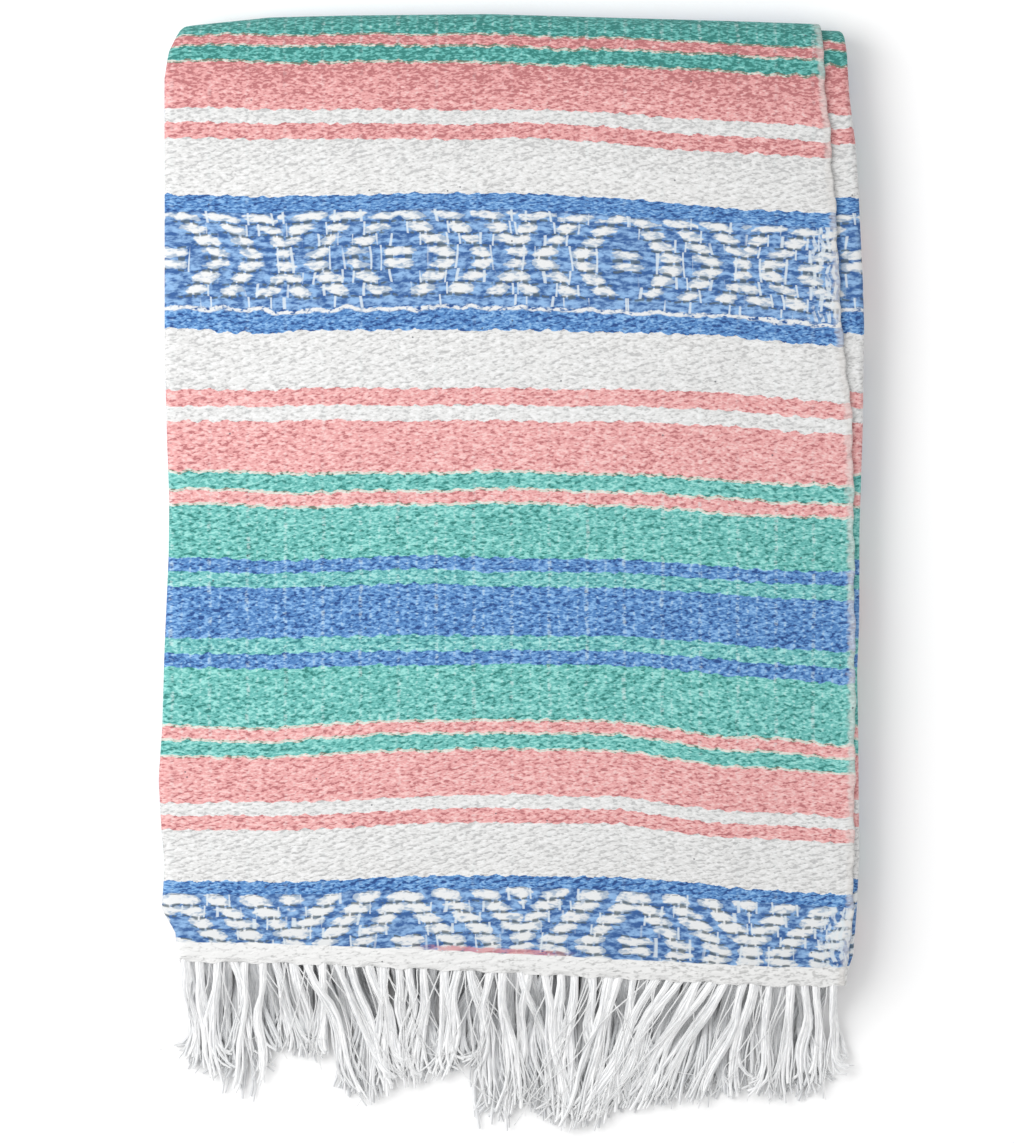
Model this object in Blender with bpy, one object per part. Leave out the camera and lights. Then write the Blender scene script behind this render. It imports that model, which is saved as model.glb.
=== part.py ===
"""A striped, hand-loomed blanket, folded, with its warp fringe loose at one end.

Metres, +Z up, +Y towards the top fold. The cloth is folded in thirds across its
width into a stack of three plies, and that stack is folded in thirds along its
length. Each solid is a section of the stack, swept along the way the stack runs:
front leaf, top fold, back leaf on the floor, bottom fold, and the leaf tucked
between them.
"""
import math

import bmesh
import bpy
from mathutils import Vector

MM = 0.001

# The cloth and its stack
WALL = 3.0 * MM                 # one ply of the thick, loose weave
PLY_PITCH = 4.3 * MM            # middle of one ply to the middle of the next
HALF_STACK = PLY_PITCH + WALL / 2
LEAF_GAP = 2.5 * MM             # air between one leaf and the next
SEAM = 0.3 * MM                 # parting between neighbouring pieces
EASE = 0.8 * MM                 # air under the outer ply

# Heights of the middle of each leaf, and the folds between them
BACK_LEVEL = HALF_STACK
TUCKED_LEVEL = 3 * HALF_STACK + LEAF_GAP
FRONT_LEVEL = 5 * HALF_STACK + 2 * LEAF_GAP
TOP_FOLD_LEVEL = (FRONT_LEVEL + BACK_LEVEL) / 2
TOP_FOLD_RADIUS = (FRONT_LEVEL - BACK_LEVEL) / 2
BOTTOM_FOLD_LEVEL = (TUCKED_LEVEL + BACK_LEVEL) / 2
BOTTOM_FOLD_RADIUS = (TUCKED_LEVEL - BACK_LEVEL) / 2

# The outline from above, in millimetres: distance along, then the edge there
LEFT_FOLD = (                   # y, x of the rounded edge on the left
    (-243, -210.0), (-230, -211.0), (-215, -219.4), (-187, -217.5), (-165, -219.5),
    (-131, -221.3), (-98, -219.0), (-46, -217.5), (13, -215.0), (50, -214.5),
    (87, -216.0), (146, -217.5), (322, -217.5), (338, -215.0), (347, -211.0),
)
SELVAGE = (                     # y, x of the front ply's woven edge on the right
    (-241, 209.0), (-229, 212.0), (-199, 214.0), (-115, 215.0), (-52, 215.2),
    (54, 214.2), (100, 213.4), (123, 211.8), (147, 208.1), (194, 205.0),
    (225, 203.8), (255, 201.3), (285, 199.4), (315, 196.3), (344, 194.4),
)
RIGHT_FOLD = (                  # y, x of the fold that shows under the selvage
    (-241, 211.0), (-229, 214.6), (-199, 216.8), (-168, 218.2), (-85, 217.5),
    (-52, 216.9), (-21, 218.2), (38, 218.4), (100, 220.4), (165, 221.3),
    (194, 220.4), (225, 218.8), (255, 217.5), (279, 215.7), (308, 211.9), (342, 210.0),
)
TOP_FOLD = (                    # x, y of the top fold
    (-221, 343.0), (-203, 347.0), (-152, 352.3), (-101, 353.6), (-13, 354.5),
    (68, 352.0), (144, 349.8), (190, 348.2), (222, 347.0),
)
LOWER_EDGE = (                  # x, y where the header ends and the fringe starts
    (-221, -241.5), (-145, -242.6), (-56, -246.2), (34, -250.5), (123, -254.9),
    (168, -257.2), (222, -257.0),
)
FRINGE_TIPS = (                 # x, y of the fringe's ragged end
    (-216, -265), (-212, -303), (-201, -315), (-180, -325), (-174, -342), (-166, -330),
    (-151, -318), (-144, -309), (-114, -312), (-104, -324), (-98, -341), (-86, -339),
    (-75, -330), (-40, -324), (-35, -316), (-20, -320), (-17, -335), (-10, -355),
    (-3, -355), (5, -348), (31, -355), (49, -355), (60, -348), (99, -341), (134, -338),
    (181, -340), (194, -335), (201, -323), (211, -309),
)

# How the pile lies
SETTLED = 0.028                 # low swells, as a share of the pile's height
BOTTOM_FOLD_SET = 28 * MM       # middle of the bottom fold, in from the header's end
DROOP_START = 35 * MM           # the front leaf sags from here to the header's end
DROOP_RATE = 8.0                # sag in metres for a square metre of run
BACK_INSET = 2.0 * MM           # lower leaves lie a little inside the front one
TUCKED_INSET = 3.0 * MM
TUCKED_SELVAGE = 15 * MM        # selvage to right fold, past the top fold
FOLD_RETURN = 14 * MM           # cloth that comes back under a side fold
RIGHT_FOLD_WIDTH = 30 * MM      # stretch that is a piece of its own at the right
TUCKED_RETURN = 12 * MM         # outer ply that comes back over the bottom fold
FULL_FROM = TUCKED_RETURN + SEAM        # past it the hidden plies are three deep
FLAP_FROM = FULL_FROM + 1 * MM          # and their selvage lies over the right fold

# Header and fringe
HEADER = 14 * MM                # plain strip that closes the weave
LOCK_WIDTH = 4.4 * MM
LOCK_THICKNESS = 2.2 * MM
TIP_SHARE = 0.5                 # width left at a lock's tip
FALL = 52 * MM                  # run in which a lock comes down to the floor
FALL_STEPS = 3
FALL_SHARE = 0.7                # most of its length that a short lock takes for it
CLUMP_LENGTH = 47 * MM          # locks gather into clumps this far apart
CLUMP = 3.0 * MM
LEAN = 9.0 * MM                 # drift to the right along a full lock
FULL_LOCK = 100 * MM
FRINGES = (
    # name, middle above the stack's, locks, steps on the floor, height there, reach
    ("front_fringe", PLY_PITCH, 56, 2, 7.9 * MM, 1.0),
    ("second_fringe", 0.2 * MM, 42, 1, 4.8 * MM, 0.97),
    ("third_fringe", -PLY_PITCH, 36, 1, 1.7 * MM, 0.94),
)

# Rows and columns of the swept solids
FIRST_COLUMN = -190 * MM        # the plies share their inner columns
LAST_COLUMN = 168 * MM
COLUMNS = 9
FRONT_ROWS = 15
BACK_ROWS = 10
TUCKED_ROWS = 5
TOP_STEPS = 4                   # steps in a quarter of the top fold
BOTTOM_STEPS = 4                # steps in the whole bottom fold
ROUND_STEPS = 6                 # steps round a side fold

CORAL = (0.80, 0.37, 0.36, 1.0)
MINT = (0.20, 0.54, 0.48, 1.0)
BLUE = (0.14, 0.30, 0.57, 1.0)
WHITE_COTTON = (0.80, 0.80, 0.79, 1.0)
YARN_ROUGHNESS = 0.9


def clear_scene():
    """Take every object out of the open file."""
    for old in list(bpy.data.objects):
        bpy.data.objects.remove(old, do_unlink=True)


def at(rows, place):
    """A table's value at a place, both in metres, straight between its rows."""
    key = place / MM
    for (low, low_value), (high, high_value) in zip(rows, rows[1:]):
        if key <= high:
            share = max(0.0, (key - low) / (high - low))
            return (low_value + (high_value - low_value) * share) * MM
    return rows[-1][1] * MM


def settle(x, y):
    """Low swells of the resting pile, as a factor on every height."""
    swell = math.sin(x / 0.062 + y / 0.15) * math.cos(y / 0.078 - 0.6)
    return 1 + SETTLED * swell


def bottom_fold_y(x):
    return at(LOWER_EDGE, x) + BOTTOM_FOLD_SET


def top_fold_y(x):
    """Middle of the top fold's half round."""
    return at(TOP_FOLD, x) - TOP_FOLD_RADIUS - HALF_STACK


def place(stretch, along, x, out):
    """A point of the stack: a stretch of its way, how far along it (0 to 1, or the
    angle turned in a fold), x across, and how far out it is from the middle ply."""
    top = top_fold_y(x)
    bottom = bottom_fold_y(x)
    edge = at(LOWER_EDGE, x)
    cloth_end = edge + HEADER + SEAM
    if stretch in ("header", "front"):
        if stretch == "header":
            y = edge + HEADER * along
        else:
            y = cloth_end + (top - cloth_end) * along
        sag = DROOP_RATE * max(0.0, edge + DROOP_START - y) ** 2
        z = FRONT_LEVEL + out - sag
    elif stretch == "top":
        y = top + (TOP_FOLD_RADIUS + out) * math.sin(along)
        z = TOP_FOLD_LEVEL + (TOP_FOLD_RADIUS + out) * math.cos(along)
    elif stretch == "back":
        y = top + (bottom - top) * along
        z = BACK_LEVEL - out
    elif stretch == "bottom":
        y = bottom - (BOTTOM_FOLD_RADIUS + out) * math.sin(along)
        z = BOTTOM_FOLD_LEVEL - (BOTTOM_FOLD_RADIUS + out) * math.cos(along)
    else:
        y = bottom + (top - LEAF_GAP - bottom) * along
        z = TUCKED_LEVEL + out
    return Vector((x, y, z * settle(x, y)))


def inset(stretch, along):
    """How far a stretch lies inside the front leaf's outline."""
    if stretch in ("header", "front"):
        return 0.0
    if stretch == "top":
        return BACK_INSET * along / math.pi
    if stretch == "back":
        return BACK_INSET
    if stretch == "bottom":
        return BACK_INSET + (TUCKED_INSET - BACK_INSET) * along / math.pi
    return TUCKED_INSET


def edges(stretch, along):
    """Left fold, selvage and right fold of the stack at one row. The bottom fold is
    too tight for its outline to change on the way round."""
    y = bottom_fold_y(0.0) if stretch == "bottom" else place(stretch, along, 0.0, 0.0).y
    step_in = inset(stretch, along)
    left = at(LEFT_FOLD, y) + step_in
    right = at(RIGHT_FOLD, y) - step_in
    selvage = at(SELVAGE, y) if stretch in ("header", "front") else right - TUCKED_SELVAGE
    return left, selvage, right


def rows_of(stretch, count, start=0.0, end=1.0):
    """Evenly spaced rows along one stretch, its start left out."""
    return [(stretch, start + (end - start) * step / count) for step in range(1, count + 1)]


def front_rows():
    return [("front", 0.0)] + rows_of("front", FRONT_ROWS)


def tucked_share(run):
    """A run along the tucked leaf as a share of that leaf."""
    return run / (top_fold_y(0.0) - LEAF_GAP - bottom_fold_y(0.0))


def shared_columns():
    return [FIRST_COLUMN + (LAST_COLUMN - FIRST_COLUMN) * step / (COLUMNS - 1)
            for step in range(COLUMNS)]


def outer_section(stretch, along):
    """The outer ply: back under the left fold, round it, and over to the selvage.
    Each column is the x and height of its outer face, then of its inner face."""
    left, selvage, _ = edges(stretch, along)
    inner = HALF_STACK - WALL
    middle = left + HALF_STACK
    columns = [(left + FOLD_RETURN, -HALF_STACK, left + FOLD_RETURN, -inner)]
    for step in range(ROUND_STEPS + 1):
        turn = math.pi * (step / ROUND_STEPS - 0.5)
        columns.append((middle - HALF_STACK * math.cos(turn), HALF_STACK * math.sin(turn),
                        middle - inner * math.cos(turn), inner * math.sin(turn)))
    for x in [left + FOLD_RETURN + SEAM] + shared_columns() + [selvage - 2 * MM]:
        columns.append((x, HALF_STACK, x, inner))
    columns.append((selvage, HALF_STACK - 0.8 * MM, selvage, inner + 0.8 * MM))
    return columns


def right_section(stretch, along):
    """The two inner plies where they fold at the right, as one rounded slab."""
    _, _, right = edges(stretch, along)
    top = HALF_STACK - WALL - EASE
    middle = (top - HALF_STACK) / 2
    radius = top - middle
    start = right - RIGHT_FOLD_WIDTH
    columns = [(start, top, start, -HALF_STACK)]
    for step in range(ROUND_STEPS - 1):
        turn = math.pi / 2 * step / (ROUND_STEPS - 1)
        x = right - radius + radius * math.sin(turn)
        height = radius * math.cos(turn)
        columns.append((x, middle + height, x, middle - height))
    return columns


def hidden_section(stretch, along):
    """The plies that nothing shows but their edges. In the tucked leaf they fold at
    the left themselves, and their selvage lies over the right fold."""
    left, selvage, right = edges(stretch, along)
    top = HALF_STACK - WALL - EASE
    inner = HALF_STACK - WALL
    stop = right - RIGHT_FOLD_WIDTH - SEAM
    under = left + FOLD_RETURN + SEAM
    if stretch == "tucked" and along > tucked_share(FULL_FROM):
        reach = selvage if along > tucked_share(FLAP_FROM) else stop
        full = HALF_STACK + 1.0 * MM
        columns = [
            (left, 2 * MM, left, -2 * MM),
            (left + 1.6 * MM, 4.4 * MM, left + 1.6 * MM, -4.4 * MM),
            (left + HALF_STACK, HALF_STACK, left + HALF_STACK, -HALF_STACK),
            (under, full, under, -full),
        ]
        body_top = full
        body_low = -full
        last = [
            (stop, full, stop, -full),
            (reach - 2 * MM, HALF_STACK, stop, top + 0.6 * MM),
            (reach, HALF_STACK - 1 * MM, reach - 1 * MM, top + 0.6 * MM),
        ]
    else:
        columns = [
            (left + 7.0 * MM, 1.2 * MM, left + 7.0 * MM, -0.6 * MM),
            (left + 8.5 * MM, top, left + 8.5 * MM, SEAM - inner),
            (under - 1 * MM, top, under, SEAM - inner),
            (under, top, under + 0.2 * MM, -HALF_STACK),
        ]
        body_top = top
        body_low = -HALF_STACK
        last = [
            (stop - 3 * MM, top, stop - 2 * MM, -HALF_STACK),
            (stop - 1 * MM, top, stop, -HALF_STACK),
            (stop, top - 1 * MM, stop, 1 * MM - HALF_STACK),
        ]
    for x in shared_columns():
        columns.append((x, body_top, x, body_low))
    return columns + last


def header_section(middle, locks, left, right):
    """A strip one ply thick, one cell wide for each lock."""
    half = WALL / 2
    return [(left + (right - left) * cell / locks, middle + half,
             left + (right - left) * cell / locks, middle - half)
            for cell in range(locks + 1)]


def wall_mesh(section_of, rows):
    """A closed wall: both faces of a section, swept through its rows."""
    sections = [section_of(*row) for row in rows]
    across = len(sections[0]) - 1
    down = len(rows) - 1
    mesh = bmesh.new()
    bmesh.ops.create_grid(mesh, x_segments=across, y_segments=down, size=0.5)
    outer = list(mesh.verts)
    made = bmesh.ops.extrude_face_region(mesh, geom=mesh.faces[:], use_keep_orig=True)
    inner = [item for item in made["geom"] if isinstance(item, bmesh.types.BMVert)]
    for side, layer in enumerate((outer, inner)):
        for vertex in layer:
            column = sections[round((vertex.co.y + 0.5) * down)][
                round((vertex.co.x + 0.5) * across)]
            row = rows[round((vertex.co.y + 0.5) * down)]
            vertex.co = place(*row, column[2 * side], column[2 * side + 1])
    bmesh.ops.recalc_face_normals(mesh, faces=mesh.faces[:])
    if mesh.calc_volume(signed=True) < 0:
        bmesh.ops.reverse_faces(mesh, faces=mesh.faces[:])
    return mesh


def lock_drift(x, run):
    """Sideways drift of a lock that starts at x, after a run along the floor.
    Locks share it, so that none crosses its neighbour."""
    clump = CLUMP * math.sin(2 * math.pi * x / CLUMP_LENGTH)
    lean = LEAN * math.cos(x / 0.115 + 0.4)
    return (clump + lean) * (run / FULL_LOCK) ** 1.3


def add_locks(mesh, locks, steps, left, right, rest_height, reach):
    """Draw every other face of the strip's lower edge out into a lock of yarn."""
    cell = (right - left) / locks
    lower = [face for face in mesh.faces
             if face.normal.y < -0.5 and face.calc_area() < 2 * cell * WALL]
    lower.sort(key=lambda face: face.calc_center_median().x)
    bmesh.ops.inset_individual(mesh, faces=lower, thickness=0.35 * MM)
    for number, face in enumerate(lower):
        root = face.calc_center_median()
        ragged = 0.95 + 0.05 * math.cos(number * 2.4)
        tip = at(FRINGE_TIPS, root.x + lock_drift(root.x, FULL_LOCK))
        length = (root.y - tip) * reach * ragged
        fall = min(FALL, (root.y - tip) * FALL_SHARE)
        runs = [fall * step / FALL_STEPS for step in range(1, FALL_STEPS + 1)]
        runs += [fall + (length - fall) * step / steps for step in range(1, steps + 1)]
        for run in runs:
            grown = bmesh.ops.extrude_discrete_faces(mesh, faces=[face])
            face = grown["faces"][0]
            drop = (1 - math.cos(math.pi * min(1.0, run / fall))) / 2
            centre = Vector((root.x + lock_drift(root.x, run), root.y - run,
                             root.z + (rest_height - root.z) * drop))
            taper = 1 - (1 - TIP_SHARE) * run / length
            middle = face.calc_center_median()
            for vertex in face.verts:
                side = math.copysign(LOCK_WIDTH / 2, vertex.co.x - middle.x)
                level = math.copysign(LOCK_THICKNESS / 2, vertex.co.z - middle.z)
                vertex.co = centre + Vector((side * taper, 0, level * taper))


def finished(name, mesh, collection, colour):
    """Put a mesh in the collection as a smooth object with its own material."""
    data = bpy.data.meshes.new(name)
    mesh.to_mesh(data)
    mesh.free()
    data.shade_smooth()
    data.set_sharp_from_angle(angle=math.radians(50))
    item = bpy.data.objects.new(name, data)
    collection.objects.link(item)
    material = bpy.data.materials.new(name + "_cotton")
    material.use_nodes = True
    shader = material.node_tree.nodes["Principled BSDF"]
    shader.inputs["Base Color"].default_value = colour
    shader.inputs["Roughness"].default_value = YARN_ROUGHNESS
    shader.inputs["Metallic"].default_value = 0.0
    data.materials.append(material)
    return item


def front_leaf(collection):
    """The ply that shows from above, to the crest of the top fold."""
    rows = front_rows() + rows_of("top", TOP_STEPS, 0.0, math.pi / 2 - 0.008)
    finished("front_leaf", wall_mesh(outer_section, rows), collection, CORAL)


def back_leaf(collection):
    """The same ply on its way down, along the floor and round the bottom fold."""
    rows = [("top", math.pi / 2 + 0.008)]
    rows += rows_of("top", TOP_STEPS, math.pi / 2, math.pi)
    rows += rows_of("back", BACK_ROWS)
    rows += rows_of("bottom", BOTTOM_STEPS, 0.0, math.pi)
    rows += rows_of("tucked", 1, 0.0, tucked_share(TUCKED_RETURN))
    finished("back_leaf", wall_mesh(outer_section, rows), collection, MINT)


def inner_rows():
    """The whole way of the stack, from the header to the tucked leaf's end."""
    rows = front_rows() + rows_of("top", 2 * TOP_STEPS, 0.0, math.pi)
    rows += rows_of("back", BACK_ROWS) + rows_of("bottom", BOTTOM_STEPS, 0.0, math.pi)
    for run in (TUCKED_RETURN, FULL_FROM, FULL_FROM + SEAM, FLAP_FROM + SEAM):
        rows.append(("tucked", tucked_share(run)))
    return rows + rows_of("tucked", TUCKED_ROWS, rows[-1][1], 1.0)


def right_fold(collection):
    """The fold of the two inner plies, which shows beside the selvage."""
    finished("right_fold", wall_mesh(right_section, inner_rows()), collection, BLUE)


def hidden_plies(collection):
    """All that lies inside, as one rounded solid with layered edges."""
    finished("hidden_plies", wall_mesh(hidden_section, inner_rows()), collection, MINT)


def fringe(collection, name, middle, locks, steps, rest_height, reach):
    """One ply's header strip with the locks of its warp ends."""
    left, selvage, right = edges("header", 0.0)
    start = left + (3 if name == "front_fringe" else 9) * MM
    end = selvage - 2 * MM if name == "front_fringe" else right - 5 * MM
    mesh = wall_mesh(lambda *row: header_section(middle, locks, start, end),
                     [("header", 0.0), ("header", 1.0)])
    add_locks(mesh, locks, steps, start, end, rest_height, reach)
    finished(name, mesh, collection, WHITE_COTTON)


def build():
    clear_scene()
    collection = bpy.data.collections.new("folded_striped_blanket")
    bpy.context.scene.collection.children.link(collection)
    front_leaf(collection)
    back_leaf(collection)
    right_fold(collection)
    hidden_plies(collection)
    for row in FRINGES:
        fringe(collection, *row)


build()
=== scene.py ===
"""Looks of a folded, hand-loomed striped blanket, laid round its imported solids.

Metres, +Z up, +Y towards the top fold. The pile lies on a pale floor and is seen
from straight above.
"""
import math
import random

import bmesh
import bpy
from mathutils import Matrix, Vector


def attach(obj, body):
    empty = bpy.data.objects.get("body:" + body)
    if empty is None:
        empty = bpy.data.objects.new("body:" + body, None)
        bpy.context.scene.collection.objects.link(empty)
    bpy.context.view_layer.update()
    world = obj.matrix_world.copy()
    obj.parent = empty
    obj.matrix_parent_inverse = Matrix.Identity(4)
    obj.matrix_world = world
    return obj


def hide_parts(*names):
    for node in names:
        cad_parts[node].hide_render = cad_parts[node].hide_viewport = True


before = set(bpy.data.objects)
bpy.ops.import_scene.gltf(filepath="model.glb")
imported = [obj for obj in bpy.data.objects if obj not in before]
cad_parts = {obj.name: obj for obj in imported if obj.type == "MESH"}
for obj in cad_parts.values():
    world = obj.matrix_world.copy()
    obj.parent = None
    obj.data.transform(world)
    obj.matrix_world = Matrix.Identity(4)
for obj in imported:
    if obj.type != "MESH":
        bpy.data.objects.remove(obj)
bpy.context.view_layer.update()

# The yarns. Spun, recycled cotton in four colours, dry and heathered: each yarn has
# a mean tone, a darker one of painted shade for its fibres in shade and a paler one of painted
# highlight on its crown.
MM = 0.001
YARN_ROUGHNESS = 0.92
IN_STUDIO = 0.78                # the studio lights the cloth a little past full white
WHITE, CORAL, MINT, PALE_MINT, BLUE, CREAM = "white", "coral", "mint", "pale mint", "blue", "cream"
YARNS = {                       # dark, middle and pale tone, as a display shows them
    WHITE: ((203, 203, 203), (234, 234, 233), (250, 250, 250)),
    CORAL: ((194, 120, 122), (239, 172, 171), (255, 208, 205)),
    MINT: ((52, 134, 127), (107, 191, 184), (162, 232, 224)),
    PALE_MINT: ((56, 134, 138), (108, 189, 189), (168, 232, 228)),
    BLUE: ((38, 78, 142), (84, 137, 199), (144, 192, 240)),
    CREAM: ((120, 128, 112), (216, 216, 204), (240, 238, 230)),
}


def display(tone, share=IN_STUDIO):
    """A tone as a display shows it, as the linear colour that a shader takes."""
    linear = [(part / 255 / 12.92 if part < 10.3 else ((part / 255 + 0.055) / 1.055) ** 2.4)
              for part in tone]
    return (*(part * share for part in linear), 1.0)


class Value:
    """A socket of a finish. Sums on values add Math nodes to that finish."""

    def __init__(self, finish, socket):
        self.finish = finish
        self.socket = socket

    def math(self, operation, *terms):
        return self.finish.node("ShaderNodeMath", {"operation": operation},
                                dict(enumerate(terms)))

    def __add__(self, other):
        return self.math("ADD", self, other)

    __radd__ = __add__

    def __sub__(self, other):
        return self.math("SUBTRACT", self, other)

    def __rsub__(self, other):
        return self.math("SUBTRACT", other, self)

    def __mul__(self, other):
        return self.math("MULTIPLY", self, other)

    __rmul__ = __mul__

    def __truediv__(self, other):
        return self.math("DIVIDE", self, other)

    def __gt__(self, other):
        return self.math("GREATER_THAN", self, other)

    def __lt__(self, other):
        return self.math("LESS_THAN", self, other)

    def __abs__(self):
        return self.math("ABSOLUTE", self)

    def floor(self):
        return self.math("FLOOR", self)

    def fract(self):
        return self.math("FRACT", self)

    def sine(self):
        return self.math("SINE", self)

    def back_and_forth(self, span):
        return self.math("PINGPONG", self, span)

    def largest(self, other):
        return self.math("MAXIMUM", self, other)

    def smallest(self, other):
        return self.math("MINIMUM", self, other)

    def step(self, start, end):
        """0 at start, 1 at end, soft between them."""
        return self.finish.node("ShaderNodeMapRange", {"interpolation_type": "SMOOTHSTEP"},
                                {"Value": self, "From Min": start, "From Max": end})


class Finish:
    """A material, built up from values."""

    def __init__(self, name, roughness):
        self.material = bpy.data.materials.new(name)
        self.material.use_nodes = True
        self.tree = self.material.node_tree
        self.shader = self.tree.nodes["Principled BSDF"]
        self.shader.inputs["Roughness"].default_value = roughness

    def node(self, kind, settings=None, sockets=None, output=0):
        """Add a node: its settings first, then its sockets' values or links."""
        made = self.tree.nodes.new(kind)
        for name, setting in (settings or {}).items():
            if name == "stops":
                ramp = made.color_ramp
                ramp.interpolation = "CONSTANT"
                while len(ramp.elements) < len(setting):
                    ramp.elements.new(1.0)
                for stop, (position, colour) in zip(ramp.elements, setting):
                    stop.position = position
                    stop.color = colour
            else:
                setattr(made, name, setting)
        for name, value in (sockets or {}).items():
            self.feed(made.inputs[name], value)
        return Value(self, made.outputs[output])

    def feed(self, socket, value):
        if isinstance(value, Value):
            self.tree.links.new(value.socket, socket)
        else:
            socket.default_value = value

    def attribute(self, name, output):
        return self.node("ShaderNodeAttribute", {"attribute_name": name}, None, output)

    def parts(self, vector):
        """The three numbers of a vector."""
        split = self.node("ShaderNodeSeparateXYZ", None, {"Vector": vector})
        sockets = split.socket.node.outputs
        return [Value(self, sockets[axis]) for axis in range(3)]

    def noise(self, x, y, seed, detail=0.0):
        """Soft noise about 0, one swell for each unit of x and y."""
        point = self.node("ShaderNodeCombineXYZ", None, {0: x, 1: y, 2: seed})
        return self.node("ShaderNodeTexNoise", {"noise_dimensions": "3D"},
                         {"Vector": point, "Scale": 1.0, "Detail": detail}) - 0.5

    def mix(self, share, first, second):
        """One colour into another."""
        return self.node("ShaderNodeMix", {"data_type": "RGBA"},
                         {0: share, 6: first, 7: second}, 2)

    def finish_with(self, colour, height, depth):
        """Set the colour, and raise the surface by height times depth."""
        bump = self.node("ShaderNodeBump", None,
                         {"Height": height, "Distance": depth, "Strength": 1.0})
        self.feed(self.shader.inputs["Base Color"], colour)
        self.feed(self.shader.inputs["Normal"], bump)


# The striped cloth. One loomed field of thick, soft weft packed over a sparse white
# warp, one over and one under. Its stripes are mirrored about the wide blue one, and
# a band of traditional concentric diamonds in blue and white closes each repeat.
STRIPES = (                     # yarn, width in mm, from the middle of the wide blue
    (BLUE, 15.2), (PALE_MINT, 9.4), (BLUE, 8.1), (MINT, 33.5), (CREAM, 1.6), (CORAL, 6.8),
    (CREAM, 1.5), (MINT, 9.9), (CREAM, 1.5), (CORAL, 30.4), (WHITE, 10.0), (CORAL, 9.7),
    (WHITE, 36.6), (BLUE, 44.3),
)
HALF_REPEAT = sum(width for _, width in STRIPES)
WARP_PITCH = 5.9                # mm from one warp end to the next
PICK_PITCH = 2.36               # mm from one pick to the next, packed over the warp
PICK_SLANT = 0.12               # each pick climbs a little to the right over its warp end
WHITE_SLANT = 0.30              # and a little more so in the wide white stripe
WHITE_MIDDLE = 160              # whose middle is this far from that of the wide blue
WHITE_HALF = 24
# painted shade: the cloth is drawn darker towards the top fold, where it turns from the light, and
# in the gaps between its picks, more so towards the header
TOP_FOLD_PAINTED_SHADE = ((272, 300, 0.16), (322, 350, 0.22))   # the cloth darkens towards the top fold
OPEN_END = (130, 70)            # and the gaps between its picks widen towards the header
WARP_SHOWS = 23.6               # every fourth warp end shows a little more than the rest,
DYED_MIDDLE = (82, 66)          # and most so in the green and blue stripes
BAND_ROW = 7.5                  # one white and one blue pick of the diamonds
BAND_DEPTH = 4 * BAND_ROW       # from the middle of the band to its border
NEAR_ROW_EXTRA = 0.45           # on the side of the green stripes they lie less close
END_ROW = 6.8                   # the band by the header has five closer rows, and more white
END_DEPTH = 5 * END_ROW
END_WHITE = 0.30
ROW_HALF = 0.43
EYE_PITCH = 142.8               # from one diamond's eye to the next
EYE_PLACE = -70.2
EYE_LEAN = 5.0 / 437            # the lower band's eyes lie a little further right
EYE_HALF = 9.4
WAIST_HALF = 6.6                # between two diamonds
EYE_CLEAR = 18.0                # no ring comes closer to the eye
RING_STEP = 6.26                # a ring draws in by this much for each row
RING_PITCH = 23.5
RING_START = 6.9
RING_HALF = 7.3
FLOAT_SIZE = 1.15
EYE_SIZE = 1.1
FLOAT_TAPER = 0.66              # 0 is a round float, 1 a straight-sided one
FLOAT_TILT = 0.34
FAR_STRETCH = 0.28              # the outermost row is longer and thinner
FAR_THIN = 0.6
THREAD_PLACE = 1.06             # the warp end that ties a float down, in halves of a ring
NOWHERE = 9                     # lowers a float until nothing is left
HEADER_TOP = (12.9, 12.3)       # mm above the fringe
STRAY_PICK_TOP = 14.0
STRAY_PICK_MIDDLE = -10
BOUND_EDGE = (6.0, 2.4)         # mm from the selvage
LINT_SPACING = 34
WEAVE_RELIEF = 0.45
WARP_TONE = (222, 238, 238)
# painted shade and painted highlight: each float is drawn darker in its shade and paler on its
# crown
BLUE_FLOAT = ((54, 98, 160), (150, 191, 236))       # in shade, and on its crown
WHITE_FLOAT = ((172, 190, 210), (240, 242, 243))
# painted shade between two floats
FLOAT_GAP_SHADE = (86, 100, 106)
THREAD_TONE = (230, 240, 246)
# painted shade: the header yarn is drawn greyer towards the right, where the light falls off, and
# darker in the gaps between its picks
HEADER_YARN = ((214, 214, 213), (255, 255, 254))
HEADER_GAP_SHADE = (206, 206, 205)
STRAY_PICK = (226, 150, 155)
BOUND_TONE = (232, 228, 224)
LINT_TONE = (84, 88, 96)


def stripe_stops(tone):
    """Colour stops of the stripes over half a repeat, in one of the yarns' tones."""
    stops, place = [], 0.0
    for yarn, width in STRIPES:
        stops.append((place / HALF_REPEAT, display(YARNS[yarn][tone])))
        place += width
    return stops


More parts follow.
